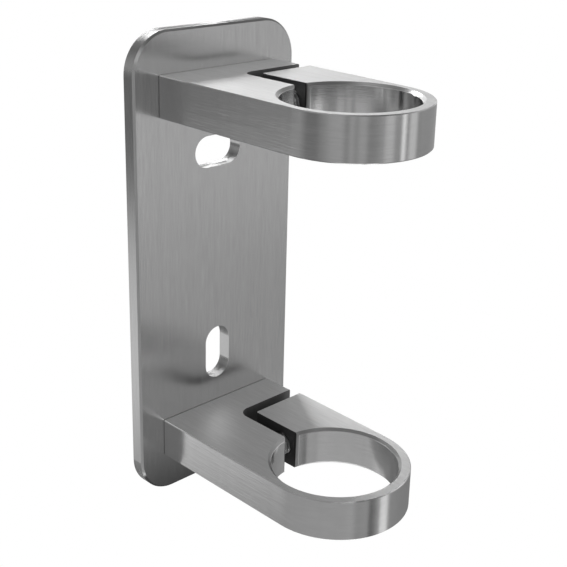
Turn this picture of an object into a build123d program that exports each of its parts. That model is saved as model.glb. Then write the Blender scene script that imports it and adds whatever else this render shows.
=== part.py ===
from build123d import *
from math import acos, atan2, cos, hypot, sin
import os

# Post wall flange: a slotted wall plate that carries a round post in two split clamp arms.
# Millimetres. The origin is the centre of the plate's back face, which lies on the wall.
# +Y points into the wall, +Z up along the post, so the arms reach out towards -Y.

# Wall plate
plate_width = 70
plate_height = 165
plate_thickness = 5
plate_corner_radius = 14
plate_edge_chamfer = 0.7

# Slots for the wall bolts: the upper one lies across the plate, the lower one along it
slot_length = 20
slot_width = 11
slot_to_arm = 9  # metal between a slot and the arm beside it

# Post and its bore
post_diameter = 42.4
bore_clearance = 0.2  # on the diameter
bore_rim_chamfer = 1
post_distance = 59.5  # from the plate's front to the post's axis

# Clamp arms
arm_thickness = 14
arm_margin = 14  # from the plate's end to the arm
arm_edge_chamfer = 0.3
ring_wall = 3.7  # beside the bore
nose_offset = 0.5  # how far the nose's centre lies beyond the post's axis, for a thicker nose

# L-shaped slit that frees the jaw: in from the side, then along the arm into the bore
side_slit_width = 4.5
mouth_slit_width = 5
slit_setback = 13  # from the plate's front to the slit
slit_offset = 1  # from the post's axis to the middle of the leg that enters the bore
slit_mouth_radius = 1.6
jaw_corner_radius = 0.8
jaw_flare = 1  # how far the jaw's free corner stands out past the arm's side

# M8 clamp screw, which goes through the jaw and is threaded into the arm
clamp_screw_diameter = 8
clamp_screw_length = 30
clamp_screw_wall = 2.9  # metal between the screw's hole and the bore
clamp_head_diameter = 11
clamp_head_height = 8
clamp_head_recess = 0.5
clamp_hex_size = 5
clamp_hex_depth = 4
clamp_tip_chamfer = 0.8

# M6 countersunk screws, which hold each arm from the plate's back
fixing_screw_diameter = 6
fixing_screw_length = 14
fixing_screw_spacing = 28
fixing_head_diameter = 12
fixing_head_recess = 0.2
fixing_hex_size = 4
fixing_hex_depth = 2
fixing_tip_chamfer = 0.6

# Clearances round the screws, the first three on the diameter
through_clearance = 0.6
thread_clearance = 0.1
head_clearance = 0.6
countersink_clearance = 0.1
tap_runout = 1.5  # how far a tapped hole goes on past the screw's end
head_edge_chamfer = 0.4

# Places that follow from the sizes above
plate_front = -plate_thickness
post_y = plate_front - post_distance
nose_y = post_y - nose_offset
bore_radius = (post_diameter + bore_clearance) / 2
arm_half_width = bore_radius + ring_wall
upper_arm_bottom = plate_height / 2 - arm_margin - arm_thickness
lower_arm_bottom = -plate_height / 2 + arm_margin
upper_slot_z = upper_arm_bottom - slot_to_arm - slot_width / 2
lower_slot_z = lower_arm_bottom + arm_thickness + slot_to_arm + slot_length / 2
stub_end_y = plate_front - slit_setback
jaw_end_y = stub_end_y - side_slit_width
body_face_x = slit_offset - mouth_slit_width / 2
jaw_face_x = slit_offset + mouth_slit_width / 2
clamp_screw_y = post_y + bore_radius + clamp_screw_wall + (clamp_screw_diameter + through_clearance) / 2
clamp_seat_x = arm_half_width - clamp_head_recess - clamp_head_height
fixing_screw_places = (-fixing_screw_spacing / 2, fixing_screw_spacing / 2)


def jaw_side():
    # The jaw's outer side runs from its free corner to touch the round nose
    corner_x = arm_half_width + jaw_flare
    corner_y = jaw_end_y - nose_y
    touch_angle = atan2(corner_y, corner_x) - acos(arm_half_width / hypot(corner_x, corner_y))
    touch = (arm_half_width * cos(touch_angle), nose_y + arm_half_width * sin(touch_angle))
    return touch, (corner_x, jaw_end_y)


def clamp_screw_plane(arm_bottom):
    # On the seat of the clamp screw's head, facing out of the jaw
    middle = arm_bottom + arm_thickness / 2
    return Plane(origin=(clamp_seat_x, clamp_screw_y, middle), z_dir=(1, 0, 0))


def back_plane(x, arm_bottom, y=0):
    # Square to a fixing screw, facing the wall
    return Plane(origin=(x, y, arm_bottom + arm_thickness / 2), z_dir=(0, 1, 0))


def arm_outline():
    # Flat bar with a round nose, seen from above
    touch, jaw_corner = jaw_side()
    with BuildSketch() as outline:
        with BuildLine():
            ThreePointArc((-arm_half_width, nose_y), (0, nose_y - arm_half_width), touch)
            Polyline(
                touch,
                jaw_corner,
                (arm_half_width, stub_end_y),
                (arm_half_width, plate_front),
                (-arm_half_width, plate_front),
                (-arm_half_width, nose_y),
            )
        make_face()
    return outline.sketch


def slit_outline():
    # The bend keeps the slit's width on its outside, round the jaw's inner corner
    outside_x = arm_half_width + jaw_flare + side_slit_width
    with BuildSketch() as outline:
        with BuildLine():
            Polyline(
                (outside_x, stub_end_y),
                (body_face_x, stub_end_y),
                (body_face_x, post_y),
                (jaw_face_x, post_y),
                (jaw_face_x, jaw_end_y),
                (outside_x, jaw_end_y),
                close=True,
            )
        make_face()
        fillet(outline.vertices().group_by(Axis.Y)[-1].sort_by(Axis.X)[0], side_slit_width)
        jaw_corner = outline.vertices().sort_by_distance((jaw_face_x, jaw_end_y))[0]
        fillet(jaw_corner, jaw_corner_radius)
    return outline.sketch


def clamp_arm(arm_bottom):
    arm_top = arm_bottom + arm_thickness
    with BuildPart() as arm:
        with BuildSketch(Plane.XY.offset(arm_bottom)):
            add(arm_outline())
        extrude(amount=arm_thickness)
        rear_edges = arm.faces().sort_by(Axis.Y)[-1].edges()
        chamfer(arm.faces().filter_by(Axis.Z).edges() + rear_edges.filter_by(Axis.Z), arm_edge_chamfer)

        # Bore and slit, with rounded corners where they meet
        with BuildSketch(Plane.XY.offset(arm_bottom)):
            add(slit_outline())
            with Locations((0, post_y)):
                Circle(bore_radius)
        extrude(amount=arm_thickness, mode=Mode.SUBTRACT)
        mouth = (slit_offset, post_y + bore_radius, arm_bottom + arm_thickness / 2)
        fillet(arm.edges().filter_by(Axis.Z).sort_by_distance(mouth)[:2], slit_mouth_radius)
        for rim_z, inward in ((arm_bottom, 1), (arm_top, -1)):
            with BuildSketch(Plane.XY.offset(rim_z)):
                with Locations((0, post_y)):
                    Circle(bore_radius + bore_rim_chamfer)
            extrude(amount=inward * bore_rim_chamfer, taper=45, mode=Mode.SUBTRACT)

        # Clamp screw: counterbored through the jaw, tapped blind into the arm's body
        screw_plane = clamp_screw_plane(arm_bottom)
        head_room = arm_half_width + jaw_flare - clamp_seat_x
        with Locations(screw_plane.offset(head_room)):
            CounterBoreHole(
                (clamp_screw_diameter + through_clearance) / 2,
                (clamp_head_diameter + head_clearance) / 2,
                head_room,
                depth=head_room + clamp_seat_x - slit_offset,
            )
        with Locations(screw_plane):
            Hole(
                (clamp_screw_diameter + thread_clearance) / 2,
                depth=clamp_screw_length + tap_runout,
            )

        # Tapped holes for the screws from the plate's back
        for x in fixing_screw_places:
            with Locations(back_plane(x, arm_bottom, plate_front)):
                Hole(
                    (fixing_screw_diameter + thread_clearance) / 2,
                    depth=fixing_screw_length + fixing_head_recess - plate_thickness + tap_runout,
                )
    return arm


def clamp_screw(arm_bottom):
    seat = clamp_screw_plane(arm_bottom)
    with BuildPart() as screw:
        with BuildSketch(seat):
            Circle(clamp_head_diameter / 2)
        extrude(amount=clamp_head_height)
        chamfer(screw.edges().sort_by(Axis.X)[-1], head_edge_chamfer)
        with BuildSketch(seat):
            Circle(clamp_screw_diameter / 2)
        extrude(amount=-clamp_screw_length)
        chamfer(screw.edges().sort_by(Axis.X)[0], clamp_tip_chamfer)
        with BuildSketch(seat.offset(clamp_head_height)):
            RegularPolygon(clamp_hex_size / 2, 6, major_radius=False)
        extrude(amount=-clamp_hex_depth, mode=Mode.SUBTRACT)
    return screw


def fixing_screws(arm_bottom):
    cone_depth = (fixing_head_diameter - fixing_screw_diameter) / 2
    with BuildPart() as screws:
        for x in fixing_screw_places:
            head = back_plane(x, arm_bottom, -fixing_head_recess)
            with BuildSketch(head):
                Circle(fixing_head_diameter / 2)
            extrude(amount=-cone_depth, taper=45)
            with BuildSketch(head):
                Circle(fixing_screw_diameter / 2)
            extrude(amount=-fixing_screw_length)
            with BuildSketch(head):
                RegularPolygon(fixing_hex_size / 2, 6, major_radius=False)
            extrude(amount=-fixing_hex_depth, mode=Mode.SUBTRACT)
        chamfer(screws.edges().group_by(Axis.Y)[0], fixing_tip_chamfer)
    return screws


with BuildPart() as wall_plate:
    with BuildSketch(Plane.XZ):
        RectangleRounded(plate_width, plate_height, plate_corner_radius)
        with Locations((0, upper_slot_z)):
            SlotOverall(slot_length, slot_width, mode=Mode.SUBTRACT)
        with Locations((0, lower_slot_z)):
            SlotOverall(slot_length, slot_width, rotation=90, mode=Mode.SUBTRACT)
    extrude(amount=plate_thickness)
    chamfer(wall_plate.faces().sort_by(Axis.Y)[0].outer_wire().edges(), plate_edge_chamfer)
    for arm_level in (upper_arm_bottom, lower_arm_bottom):
        for screw_x in fixing_screw_places:
            with Locations(back_plane(screw_x, arm_level)):
                CounterSinkHole(
                    (fixing_screw_diameter + through_clearance) / 2,
                    fixing_head_diameter / 2 + fixing_head_recess + countersink_clearance,
                    depth=plate_thickness,
                    counter_sink_angle=90,
                )

upper_clamp_arm = clamp_arm(upper_arm_bottom)
lower_clamp_arm = clamp_arm(lower_arm_bottom)
upper_clamp_screw = clamp_screw(upper_arm_bottom)
lower_clamp_screw = clamp_screw(lower_arm_bottom)
upper_arm_screws = fixing_screws(upper_arm_bottom)
lower_arm_screws = fixing_screws(lower_arm_bottom)

wall_plate.part.label = "wall_plate"
upper_clamp_arm.part.label = "upper_clamp_arm"
lower_clamp_arm.part.label = "lower_clamp_arm"
upper_clamp_screw.part.label = "upper_clamp_screw"
lower_clamp_screw.part.label = "lower_clamp_screw"
upper_arm_screws.part.label = "upper_arm_screws"
lower_arm_screws.part.label = "lower_arm_screws"

os.makedirs("parts", exist_ok=True)
export_step(wall_plate.part, "parts/wall_plate.step")
export_step(upper_clamp_arm.part, "parts/upper_clamp_arm.step")
export_step(lower_clamp_arm.part, "parts/lower_clamp_arm.step")
export_step(upper_clamp_screw.part, "parts/upper_clamp_screw.step")
export_step(lower_clamp_screw.part, "parts/lower_clamp_screw.step")
export_step(upper_arm_screws.part, "parts/upper_arm_screws.step")
export_step(lower_arm_screws.part, "parts/lower_arm_screws.step")
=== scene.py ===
from math import cos, pi, radians, sin

import bmesh
import bpy
from mathutils import Matrix, Quaternion, Vector


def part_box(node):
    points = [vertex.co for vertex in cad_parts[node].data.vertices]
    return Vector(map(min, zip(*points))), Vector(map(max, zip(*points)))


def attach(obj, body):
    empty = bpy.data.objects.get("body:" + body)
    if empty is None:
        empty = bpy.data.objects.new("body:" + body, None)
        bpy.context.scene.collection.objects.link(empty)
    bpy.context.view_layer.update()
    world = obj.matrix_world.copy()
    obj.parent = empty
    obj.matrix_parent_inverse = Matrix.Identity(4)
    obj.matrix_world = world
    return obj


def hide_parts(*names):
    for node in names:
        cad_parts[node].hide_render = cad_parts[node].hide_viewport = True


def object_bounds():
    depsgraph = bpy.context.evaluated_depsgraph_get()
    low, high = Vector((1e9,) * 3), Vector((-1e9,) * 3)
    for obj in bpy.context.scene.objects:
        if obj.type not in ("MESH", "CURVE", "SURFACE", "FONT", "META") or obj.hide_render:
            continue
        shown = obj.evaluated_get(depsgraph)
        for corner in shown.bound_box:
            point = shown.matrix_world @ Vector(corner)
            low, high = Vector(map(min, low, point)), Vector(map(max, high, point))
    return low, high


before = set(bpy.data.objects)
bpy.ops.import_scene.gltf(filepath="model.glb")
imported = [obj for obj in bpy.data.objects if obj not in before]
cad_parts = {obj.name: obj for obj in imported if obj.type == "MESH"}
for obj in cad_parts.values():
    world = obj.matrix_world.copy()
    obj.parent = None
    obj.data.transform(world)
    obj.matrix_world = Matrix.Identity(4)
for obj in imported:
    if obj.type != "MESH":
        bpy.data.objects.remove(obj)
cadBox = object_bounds()
mm = 0.001  # lengths in the dictionaries are in millimetres


class Signal:
    # A socket that can stand in a Python sum
    def __init__(self, socket):
        self.socket = socket

    def maths(self, operation, first, second=0.0):
        tree = self.socket.id_data
        node = tree.nodes.new("ShaderNodeMath")
        node.operation = operation
        for place, value in zip(node.inputs, (first, second)):
            plug(place, value)
        return Signal(node.outputs[0])

    def __add__(self, other):
        return self.maths("ADD", self, other)

    def __sub__(self, other):
        return self.maths("SUBTRACT", self, other)

    def __rsub__(self, other):
        return self.maths("SUBTRACT", other, self)

    def __mul__(self, other):
        return self.maths("MULTIPLY", self, other)

    def __abs__(self):
        return self.maths("ABSOLUTE", self)

    def above(self, edge):
        return self.maths("GREATER_THAN", self, edge)

    __radd__ = __add__
    __rmul__ = __mul__


def plug(place, value):
    if isinstance(value, Signal):
        place.id_data.links.new(value.socket, place)
    else:
        place.default_value = value


def grey(level):
    return (level, level, level, 1)


class Sheet:
    # The node tree of one material, or of the room
    def __init__(self, tree):
        self.tree = tree
        tree.nodes.clear()

    def node(self, kind, settings=None, inputs=None, output=0):
        made = self.tree.nodes.new(kind)
        for key, value in (settings or {}).items():
            if key == "stops":
                ramp = made.color_ramp
                while len(ramp.elements) < len(value):
                    ramp.elements.new(0.5)
                for element, (position, level) in zip(ramp.elements, value):
                    element.position = position
                    element.color = grey(level)
            else:
                setattr(made, key, value)
        for key, value in (inputs or {}).items():
            plug(made.inputs[key], value)
        return Signal(made.outputs[output])

    def coordinate(self, kind, axis=None):
        # Texture coordinates of a kind, whole or along one axis
        place = self.node("ShaderNodeTexCoord", None, None, kind)
        return self.node("ShaderNodeSeparateXYZ", None, {"Vector": place}, axis) if axis else place

    def finish(self, kind, surface):
        end = self.tree.nodes.new(kind)
        plug(end.inputs["Surface"], surface)


def blend(mask, low, high):
    return low + mask * (high - low)


def between(place, low, high):
    return place.above(low) * (1 - place.above(high))


def makeMaterial(name):
    material = bpy.data.materials.new(name)
    material.use_nodes = True
    return material, Sheet(material.node_tree)


# What the three steels have in common
steel = {
    "streakDetail": 2.0, "streakRough": 0.6,
    "cloudScale": 38.0, "cloudDetail": 3.0,
    "fineShare": 0.7,  # of the tone, which has the rest from the broad streaks
    "facingFrom": 0.8,  # how far along an axis a normal points before its face counts as square to it
}


def streaks(sheet, scale):
    # Noise drawn out along the axis with the smallest scale
    spread = sheet.node("ShaderNodeMapping", None, {"Vector": sheet.coordinate("Object"), "Scale": scale})
    shape = {"Scale": 1.0, "Detail": steel["streakDetail"], "Roughness": steel["streakRough"]}
    return sheet.node("ShaderNodeTexNoise", None, {"Vector": spread, **shape})


def clouds(sheet):
    shape = {"Scale": steel["cloudScale"], "Detail": steel["cloudDetail"]}
    return sheet.node("ShaderNodeTexNoise", None, {"Vector": sheet.coordinate("Object"), **shape})


def wear(look, *layers):
    # Change of roughness by layers of noise, about nought
    mixed = sum(layer * share for layer, share in zip(layers, look["wearShares"]))
    return (mixed - 0.5) * look["roughSpread"]


def facing(sheet, axis):
    # 1 where a face looks along the axis, either way
    return abs(sheet.coordinate("Normal", axis)).above(steel["facingFrom"])


def steelShader(sheet, look, fine, broad, rough, gain=1.0):
    # fine: the grain's lines, broad: slow streaks, both from 0 to 1
    mixed = fine * steel["fineShare"] + broad * (1 - steel["fineShare"])
    tone = blend(mixed, look["dark"], look["light"]) * gain
    tint = sheet.node("ShaderNodeCombineXYZ", None, {"X": tone, "Y": tone, "Z": tone})
    depth = {"Strength": look["relief"], "Distance": look["reliefDepth"] * mm}
    relief = sheet.node("ShaderNodeBump", None, {"Height": fine, **depth})
    surface = {"Base Color": tint, "Roughness": rough, "Metallic": 1.0, "Normal": relief}
    grain = {"Anisotropic": look["acrossGrain"], "Anisotropic Rotation": look["grainTurn"]}
    return sheet.node("ShaderNodeBsdfPrincipled", None, {**surface, **grain})


plateSteel = {
    "dark": 0.38, "light": 0.64, "relief": 0.35, "reliefDepth": 0.03,
    "fineScale": (3000, 3000, 110), "broadScale": (420, 420, 14),
    "rough": 0.25, "roughSpread": 0.14, "wearShares": (0.5, 0.3, 0.2),
    "acrossGrain": 0.75, "grainTurn": 0.0,
    # edges that face up, more so from the first tilt to the second, are rougher and darkened with painted
    # shade that tones down their highlight
    "endTilt": (0.1, 0.6), "endRough": 0.5, "endShade": 0.5,
}


def makePlateSteel():
    # Satin finish, ground along the plate's height, rougher where its edges face up, with painted shade
    # darkening those edges
    look = plateSteel
    material, sheet = makeMaterial("plateSteel")
    fine, broad = streaks(sheet, look["fineScale"]), streaks(sheet, look["broadScale"])
    rough = look["rough"] + wear(look, fine, broad, clouds(sheet))
    level, upright = look["endTilt"]
    tilt = {"Value": sheet.coordinate("Normal", "Z"), "From Min": level, "From Max": upright}
    end = sheet.node("ShaderNodeMapRange", None, tilt)
    rough = blend(end, rough, look["endRough"])
    # painted shade: the edges that face up get a darker colour against their highlight
    gain = blend(end, 1.0, look["endShade"])
    sheet.finish("ShaderNodeOutputMaterial", steelShader(sheet, look, fine, broad, rough, gain))
    return material


armSteel = {
    "dark": 0.47, "light": 0.65, "relief": 0.6, "reliefDepth": 0.05,
    "topScale": (2400, 110, 2400), "sideScale": (110, 110, 2600),
    "ridgeScale": (380, 380, 4), "ridges": 0.35,  # share of upright ripples in the grain of the sides
    "broadScale": (260, 9, 260),
    "rough": 0.17, "roughSpread": 0.1, "wearShares": (0.6, 0.4),
    "acrossGrain": 0.65, "grainTurn": 0.25,
    "flat": {"dark": 0.42, "light": 0.7, "rough": 0.45, "relief": 0.25, "acrossGrain": 0.0},
    "postAxis": (0, -64.5), "boreReach": 21.4, "boreRough": 0.15, "boreBright": 0.2,
    # the bore's rim is rougher and darkened with painted shade
    "rimReach": 22.4, "rimRough": 0.3, "rimShade": 0.4,
    # the slit's two legs, low and high corners across and along the arm
    "slitLegs": (((-1.55, -43.8), (3.55, -17.95)), ((-1.55, -22.55), (30, -17.95))),
    # the slit's walls are darker partly as raw cut faces and partly as painted shade of the narrow recess
    "slitCutAndShade": 0.17, "slitRough": 0.5,
    # the chamfer where the arm's top meets the plate, rougher and lightened with a painted highlight
    "jointEdge": -5.32, "jointTilt": 0.5, "jointHighlight": 0.6, "jointRough": 0.6,
}


def slitMask(sheet, legs):
    # 1 on the walls of the slit
    across, along = sheet.coordinate("Object", "X"), sheet.coordinate("Object", "Y")
    mask = 0.0
    for (lowX, lowY), (highX, highY) in legs:
        leg = between(across, lowX * mm, highX * mm) * between(along, lowY * mm, highY * mm)
        mask = leg.maths("MAXIMUM", leg, mask)
    return mask * (1 - facing(sheet, "Z"))


def postReach(sheet, postAxis):
    # Distance from the post's axis
    axisX, axisY = postAxis
    shift = {"Location": (-axisX * mm, -axisY * mm, 0), "Scale": (1, 1, 0)}
    centred = sheet.node("ShaderNodeMapping", None, {"Vector": sheet.coordinate("Object"), **shift})
    return sheet.node("ShaderNodeVectorMath", {"operation": "LENGTH"}, {0: centred}, "Value")


def makeArmSteel():
    # Ground along the bar on its flats and round its nose, turned in the bore, duller and darkened with
    # painted shade on the bore's rim, lightened with a painted highlight at the joint with the plate, and
    # left as cut and darkened with painted shade in the slit
    look = armSteel
    material, sheet = makeMaterial("armSteel")
    sideGrain = blend(look["ridges"], streaks(sheet, look["sideScale"]), streaks(sheet, look["ridgeScale"]))
    flatGrain, broad = streaks(sheet, look["topScale"]), streaks(sheet, look["broadScale"])
    reach = postReach(sheet, look["postAxis"])
    turned = 1 - reach.above(look["boreReach"] * mm)
    rim = between(reach, look["boreReach"] * mm, look["rimReach"] * mm)
    slit = slitMask(sheet, look["slitLegs"])
    nearPlate = sheet.coordinate("Object", "Y").above(look["jointEdge"] * mm)
    # mask of the painted highlight at the joint with the plate
    joint = nearPlate * sheet.coordinate("Normal", "Z").above(look["jointTilt"])
    worn = wear(look, broad, clouds(sheet))
    rough = look["rough"] + worn
    for mask, key in ((turned, "boreRough"), (rim, "rimRough"), (slit, "slitRough"), (joint, "jointRough")):
        rough = blend(mask, rough, look[key])
    # the slit's darkening is partly its raw cut and partly painted shade of the recess
    gain = 1 + turned * look["boreBright"] - slit * (1 - look["slitCutAndShade"] / look["light"])
    # painted highlight on the joint and painted shade on the bore's rim
    gain = gain + joint * look["jointHighlight"] - rim * look["rimShade"]
    side = steelShader(sheet, look, sideGrain, broad, rough, gain)
    flatLook = {**look, **look["flat"]}
    top = steelShader(sheet, flatLook, flatGrain, broad, flatLook["rough"] + worn)
    mixed = sheet.node("ShaderNodeMixShader", None, {0: facing(sheet, "Z"), 1: side, 2: top})
    sheet.finish("ShaderNodeOutputMaterial", mixed)
    return material


screwSteel = {
    "dark": 0.46, "light": 0.6, "relief": 0.25, "reliefDepth": 0.02,
    "fineScale": (1800, 120, 120), "broadScale": (300, 300, 300),
    "rough": 0.24, "roughSpread": 0.14, "wearShares": (0.6, 0.4),
    "acrossGrain": 0.0, "grainTurn": 0.0,
}


def makeScrewSteel():
    # Turned and rolled stock, plainer and darker than the ground faces
    look = screwSteel
    material, sheet = makeMaterial("screwSteel")
    fine, broad = streaks(sheet, look["fineScale"]), streaks(sheet, look["broadScale"])
    rough = look["rough"] + wear(look, fine, broad)
    sheet.finish("ShaderNodeOutputMaterial", steelShader(sheet, look, fine, broad, rough))
    return material


def dress(node, material):
    piece = bpy.data.objects[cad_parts[node].name]
    for place in piece.material_slots:
        place.material = material


clampScrew = {
    "shankDiameter": 8, "rootDiameter": 6.6, "pitch": 1.25, "turns": 23, "stepsPerTurn": 48,
    # one tooth: how far along the pitch, then how far from root to crest
    "tooth": ((0, 0), (1 / 8, 0), (7 / 16, 1), (9 / 16, 1), (7 / 8, 0), (1, 0)),
    "weldReach": 0.001,  # points of two turns that lie closer than this become one
    "headDiameter": 11, "headHeight": 8, "headBevel": 0.4, "bevelSegments": 3,
    "hexSize": 5, "hexDepth": 4, "sideCuts": 7,
    "smoothUnder": 35,  # degrees between faces that shade as one
}


def cutThread(shape, screw):
    # One tooth along X, wound round the axis until its turns meet
    root, crest = screw["rootDiameter"] / 2, screw["shankDiameter"] / 2
    tooth = [(along * screw["pitch"], 0, root + rise * (crest - root)) for along, rise in screw["tooth"]]
    verts = [shape.verts.new(point) for point in tooth]
    edges = [shape.edges.new(pair) for pair in zip(verts, verts[1:])]
    bmesh.ops.spin(
        shape, geom=verts + edges, cent=(0, 0, 0), axis=(1, 0, 0), angle=screw["turns"] * 2 * pi,
        dvec=(screw["pitch"] / screw["stepsPerTurn"], 0, 0), steps=screw["turns"] * screw["stepsPerTurn"],
    )
    bmesh.ops.remove_doubles(shape, verts=shape.verts, dist=screw["weldReach"])
    bmesh.ops.holes_fill(shape, edges=[edge for edge in shape.edges if edge.is_boundary], sides=0)


def turnHead(shape, screw):
    # Hexagon socket and rim from two loops of as many points, each drawn down to its own depth
    across = screw["hexSize"] / 2 / cos(pi / 6)
    corners = bmesh.ops.create_circle(shape, segments=6, radius=across)["verts"]
    hexEdges = list({edge for vert in corners for edge in vert.link_edges})
    bmesh.ops.subdivide_edges(shape, edges=hexEdges, cuts=screw["sideCuts"])
    hexLoop = [edge for edge in shape.edges if edge.is_wire]
    rimPoints = 6 * (screw["sideCuts"] + 1)
    rimVerts = bmesh.ops.create_circle(shape, segments=rimPoints, radius=screw["headDiameter"] / 2)["verts"]
    rimLoop = list({edge for vert in rimVerts for edge in vert.link_edges})
    bmesh.ops.bridge_loops(shape, edges=hexLoop + rimLoop)
    for loop, depth in ((hexLoop, screw["hexDepth"]), (rimLoop, screw["headHeight"])):
        drawn = bmesh.ops.extrude_edge_only(shape, edges=loop)["geom"]
        low = [item for item in drawn if isinstance(item, bmesh.types.BMVert)]
        bmesh.ops.translate(shape, verts=low, vec=(0, 0, -depth))
        lowLoop = [item for item in drawn if isinstance(item, bmesh.types.BMEdge) and item.is_boundary]
        bmesh.ops.holes_fill(shape, edges=lowLoop, sides=0)
    bmesh.ops.bevel(
        shape, geom=rimLoop, offset=screw["headBevel"], segments=screw["bevelSegments"], profile=0.5,
        affect="EDGES", material=-1,
    )


def makeClampScrew(node, material):
    # The thread starts at the low end of the CAD screw's box, and the head's top is at the high end
    screw = clampScrew
    low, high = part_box(node)
    shank, head = bmesh.new(), bmesh.new()
    cutThread(shank, screw)
    turnHead(head, screw)
    bmesh.ops.rotate(head, verts=head.verts, cent=(0, 0, 0), matrix=Matrix.Rotation(pi / 2, 3, "Y"))
    length = (high - low).x / mm
    bmesh.ops.translate(head, verts=head.verts, vec=(length, 0, 0))
    mesh = bpy.data.meshes.new(node + "_threaded")
    head.to_mesh(mesh)
    shank.from_mesh(mesh)
    bmesh.ops.recalc_face_normals(shank, faces=shank.faces)
    bmesh.ops.scale(shank, verts=shank.verts, vec=(mm, mm, mm))
    bmesh.ops.translate(shank, verts=shank.verts, vec=(low.x, (low.y + high.y) / 2, (low.z + high.z) / 2))
    for face in shank.faces:
        face.smooth = True
    for edge in shank.edges:
        edge.smooth = edge.is_manifold and edge.calc_face_angle(0) < radians(screw["smoothUnder"])
    shank.to_mesh(mesh)
    shank.free()
    head.free()
    piece = bpy.data.objects.new(node + "_threaded", mesh)
    bpy.context.collection.objects.link(piece)
    mesh.materials.append(material)
    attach(piece, "root")
    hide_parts(node)


# How bright the room is in rings round the object. Each ring has its height above the horizon in
# degrees, then brightness by compass turn: 0 is the wall's side at +Y, 0.25 is +X
noseStrips = (  # from the front round to the left, where both noses mirror them
    (0.433, 0.35), (0.455, 0.40), (0.472, 0.75), (0.492, 0.75), (0.51, 0.45), (0.54, 0.30), (0.56, 0.30),
    (0.58, 0.50), (0.595, 0.50), (0.61, 0.35), (0.63, 0.50), (0.645, 0.30), (0.665, 0.50), (0.70, 0.50),
    (0.765, 0.20), (0.80, 0.20), (0.835, 0.40), (0.88, 0.25), (0.92, 0.10),
)
room = {
    "rings": (
        (-33, (
            (0.00, 0.20), (0.12, 0.20), (0.25, 0.30), (0.33, 0.36), (0.355, 0.38), (0.378, 0.38),
            (0.385, 1.25), (0.422, 1.25), (0.428, 0.40), (0.45, 0.30), (0.462, 0.14), (0.478, 0.14),
            (0.484, 0.46), (0.51, 0.42), (0.53, 0.38), (0.555, 0.54), (0.60, 0.50), (0.75, 0.50),
            (0.84, 0.46), (0.86, 0.36), (0.92, 0.36), (0.95, 0.25), (1.00, 0.20),
        )),
        (-27, (
            (0.00, 0.20), (0.12, 0.20), (0.25, 0.28), (0.34, 0.36), (0.375, 0.34), (0.39, 0.62),
            (0.42, 0.62), (0.43, 0.43), (0.465, 0.25), (0.50, 0.42), (0.62, 0.46), (0.75, 0.44),
            (0.83, 0.50), (0.87, 1.15), (0.92, 1.15), (0.95, 0.30), (1.00, 0.20),
        )),
        (-20, (
            (0.00, 0.25), (0.12, 0.30), (0.25, 0.30), (0.34, 0.36), (0.375, 0.48), (0.39, 0.64),
            (0.42, 0.64), (0.43, 0.43), (0.50, 0.50), (0.56, 0.36), (0.62, 0.42), (0.75, 0.34),
            (0.84, 0.36), (0.87, 0.95), (0.92, 0.95), (0.95, 0.30), (1.00, 0.25),
        )),
        (-16, (
            (0.00, 0.30), (0.11, 0.40), (0.25, 0.38), (0.32, 0.40), (0.347, 0.36), (0.362, 0.86),
            (0.392, 0.86), (0.398, 0.30), (0.409, 0.30), (0.415, 1.35), (0.428, 1.35), *noseStrips,
        )),
        (-7, (
            (0.00, 0.30), (0.11, 0.40), (0.25, 0.38), (0.32, 0.40), (0.347, 0.34), (0.362, 0.72),
            (0.392, 0.72), (0.398, 0.28), (0.409, 0.28), (0.415, 1.25), (0.428, 1.25), *noseStrips,
        )),
        (8, (
            (0.00, 0.70), (0.05, 1.10), (0.09, 1.65), (0.15, 1.50), (0.22, 0.70), (0.27, 0.60),
            (0.31, 1.20), (0.43, 1.20), (0.46, 0.50), (0.75, 0.40), (0.90, 0.60), (1.00, 0.70),
        )),
        (28, (
            (0.00, 0.70), (0.08, 1.00), (0.10, 0.40), (0.15, 0.25), (0.22, 0.30), (0.31, 1.00),
            (0.43, 1.00), (0.50, 0.50), (0.80, 0.45), (1.00, 0.70),
        )),
        (42, (
            (0.00, 0.25), (0.03, 0.60), (0.10, 0.30), (0.20, 0.30), (0.27, 0.50), (0.43, 0.30),
            (0.80, 0.45), (0.93, 0.30), (1.00, 0.25),
        )),
        (60, ((0.00, 0.50), (0.25, 0.50), (0.35, 0.20), (0.50, 0.20), (0.70, 0.40), (1.00, 0.50))),
    ),
    # a bright window behind the wall, over the plate's top
    "windowTurns": (0.03, 0.089),
    "windowHeights": (26, 39),
    "windowLevel": 26,
}


def rayIs(sheet, *kinds):
    # 1 for rays of any of these kinds
    seen = 0.0
    for kind in kinds:
        seen = sheet.node("ShaderNodeLightPath", None, None, "Is " + kind + " Ray") + seen
    return seen


def makeRoom():
    # White to the camera and through glass, and to all other rays grey rings with a window
    world = bpy.data.worlds.new("room")
    bpy.context.scene.world = world
    world.use_nodes = True
    sheet = Sheet(world.node_tree)
    partX, partY, partZ = (sheet.coordinate("Generated", axis) for axis in "XYZ")
    turn = partX.maths("ARCTAN2", partX, partY) * (0.5 / pi)
    turn = turn.maths("FRACT", turn + 1)
    height = partZ.maths("ARCSINE", partZ) * (180 / pi)
    lastHeight, level = None, None
    for ringHeight, stops in room["rings"]:
        ring = sheet.node("ShaderNodeValToRGB", {"stops": stops}, {"Fac": turn})
        if level is None:
            level = ring
        else:
            climb = {"Value": height, "From Min": lastHeight, "From Max": ringHeight}
            level = blend(sheet.node("ShaderNodeMapRange", None, climb), level, ring)
        lastHeight = ringHeight
    window = between(turn, *room["windowTurns"]) * between(height, *room["windowHeights"])
    level = level + window * room["windowLevel"]
    level = blend(rayIs(sheet, "Camera", "Transmission"), level, 1.0)
    background = sheet.node("ShaderNodeBackground", None, {"Color": grey(1), "Strength": level})
    sheet.finish("ShaderNodeOutputWorld", background)


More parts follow.
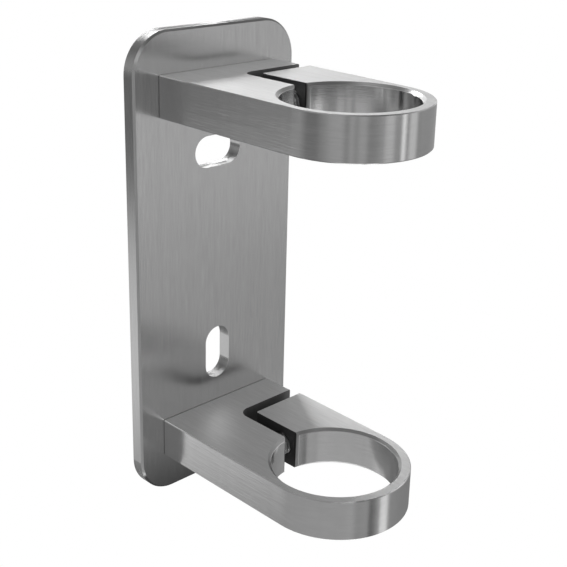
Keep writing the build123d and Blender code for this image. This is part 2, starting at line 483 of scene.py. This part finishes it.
def makePanel(name, size, middle, material, upright=False):
    # A flat piece of the studio, which faces up or, upright, away from the wall
    shape = bmesh.new()
    bmesh.ops.create_grid(shape, x_segments=1, y_segments=1, size=0.5)
    bmesh.ops.scale(shape, verts=shape.verts, vec=(size[0] * mm, size[1] * mm, 1))
    if upright:
        bmesh.ops.rotate(shape, verts=shape.verts, cent=(0, 0, 0), matrix=Matrix.Rotation(pi / 2, 3, "X"))
    bmesh.ops.translate(shape, verts=shape.verts, vec=Vector(middle) * mm)
    mesh = bpy.data.meshes.new(name)
    shape.to_mesh(mesh)
    shape.free()
    mesh.materials.append(material)
    panel = bpy.data.objects.new(name, mesh)
    bpy.context.collection.objects.link(panel)


floor = {
    "drop": 300,  # from the plate's lower end to the floor
    "size": (400, 400),
    "colour": 0.8,
    "glow": 0.85,  # added to the lit floor, so that only its shadow stays under white
}


def makeFloor():
    material, sheet = makeMaterial("floorWhite")
    matt = sheet.node("ShaderNodeBsdfDiffuse", None, {"Color": grey(floor["colour"])})
    strength = rayIs(sheet, "Camera", "Glossy", "Transmission") * floor["glow"]
    glow = sheet.node("ShaderNodeEmission", None, {"Color": grey(1), "Strength": strength})
    sheet.finish("ShaderNodeOutputMaterial", sheet.node("ShaderNodeAddShader", None, {0: matt, 1: glow}))
    makePanel("floor", floor["size"], (0, 0, cadBox[0].z / mm - floor["drop"]), material)


# A dark card that stands in for the ground's own shade at the object's foot
footCard = {
    "size": (52, 39),
    "middle": (-12, -21.5),
    "drop": 1.5,  # from the plate's lower end to the card
    "level": 0.05,  # at the wall, and it grows by rise over a metre from there
    "rise": 6,
}


def makeFootCard():
    # Seen only in the metal
    material, sheet = makeMaterial("cardBlack")
    level = footCard["level"] - sheet.coordinate("Object", "Y") * footCard["rise"]
    shade = sheet.node("ShaderNodeEmission", None, {"Color": grey(1), "Strength": level})
    clear = sheet.node("ShaderNodeBsdfTransparent")
    mixed = sheet.node("ShaderNodeMixShader", None, {0: rayIs(sheet, "Glossy"), 1: clear, 2: shade})
    sheet.finish("ShaderNodeOutputMaterial", mixed)
    height = cadBox[0].z / mm - footCard["drop"]
    makePanel("footCard", footCard["size"], (*footCard["middle"], height), material)


# White paper in the lower slot, which keeps the window's light off the lower arm
slotCard = {
    "size": (11, 20),
    "middle": (0, -4.9, -35.5),
    "level": 1.0,
}


def makeSlotCard():
    # Clear to the camera and from the wall's side
    material, sheet = makeMaterial("cardWhite")
    behind = sheet.node("ShaderNodeNewGeometry", None, None, "Backfacing")
    paper = sheet.node("ShaderNodeEmission", None, {"Color": grey(1), "Strength": slotCard["level"]})
    clear = sheet.node("ShaderNodeBsdfTransparent")
    mask = (1 - rayIs(sheet, "Camera")) * (1 - behind)
    mixed = sheet.node("ShaderNodeMixShader", None, {0: mask, 1: clear, 2: paper})
    sheet.finish("ShaderNodeOutputMaterial", mixed)
    makePanel("slotCard", slotCard["size"], slotCard["middle"], material, upright=True)


softboxes = {
    "overhead": {"place": (60, 120, 900), "aim": (0, -40, 0), "size": (400, 400), "power": 0.6},
    "frontLeft": {"place": (-500, -900, 700), "aim": (0, -30, 0), "size": (600, 600), "power": 1.5},
}


def makeSoftbox(name, box):
    lamp = bpy.data.lights.new(name, "AREA")
    lamp.shape = "RECTANGLE"
    lamp.size, lamp.size_y = (side * mm for side in box["size"])
    lamp.energy = box["power"]
    holder = bpy.data.objects.new(name, lamp)
    bpy.context.collection.objects.link(holder)
    place, aim = Vector(box["place"]) * mm, Vector(box["aim"]) * mm
    turn = (aim - place).to_track_quat("-Z", "Y")
    holder.matrix_world = Matrix.Translation(place) @ turn.to_matrix().to_4x4()


cameraSetup = {
    "place": (-239.7, -279.3, 135.9),
    "azimuth": -44.792,
    "elevation": 19.869,
    "roll": 1.405,
    "lens": 69.85,
    "shiftDown": 0.06,
    "clipStart": 10,
}


def makeCamera():
    setup = cameraSetup
    azimuth, elevation = radians(setup["azimuth"]), radians(setup["elevation"])
    back = Vector((sin(azimuth) * cos(elevation), -cos(azimuth) * cos(elevation), sin(elevation)))
    turn = (-back).to_track_quat("-Z", "Y") @ Quaternion((0, 0, 1), radians(setup["roll"]))
    lens = bpy.data.cameras.new("camera")
    lens.lens = setup["lens"]
    lens.shift_y = -setup["shiftDown"]
    lens.clip_start = setup["clipStart"] * mm
    camera = bpy.data.objects.new("camera", lens)
    bpy.context.collection.objects.link(camera)
    camera.matrix_world = Matrix.Translation(Vector(setup["place"]) * mm) @ turn.to_matrix().to_4x4()
    bpy.context.scene.camera = camera


makeCamera()
makeRoom()
makeFloor()
makeFootCard()
makeSlotCard()
for name, box in softboxes.items():
    makeSoftbox(name, box)
print("studio: camera, room, floor, two cards and", len(softboxes), "softboxes")

plateFinish = makePlateSteel()
armFinish = makeArmSteel()
screwFinish = makeScrewSteel()
dress("wall_plate", plateFinish)
for level in ("upper", "lower"):
    dress(level + "_clamp_arm", armFinish)
    dress(level + "_arm_screws", screwFinish)
    makeClampScrew(level + "_clamp_screw", screwFinish)
print("finishes: plate, arms and screws, with two threaded clamp screws")

bpy.context.scene.view_settings.view_transform = "Standard"
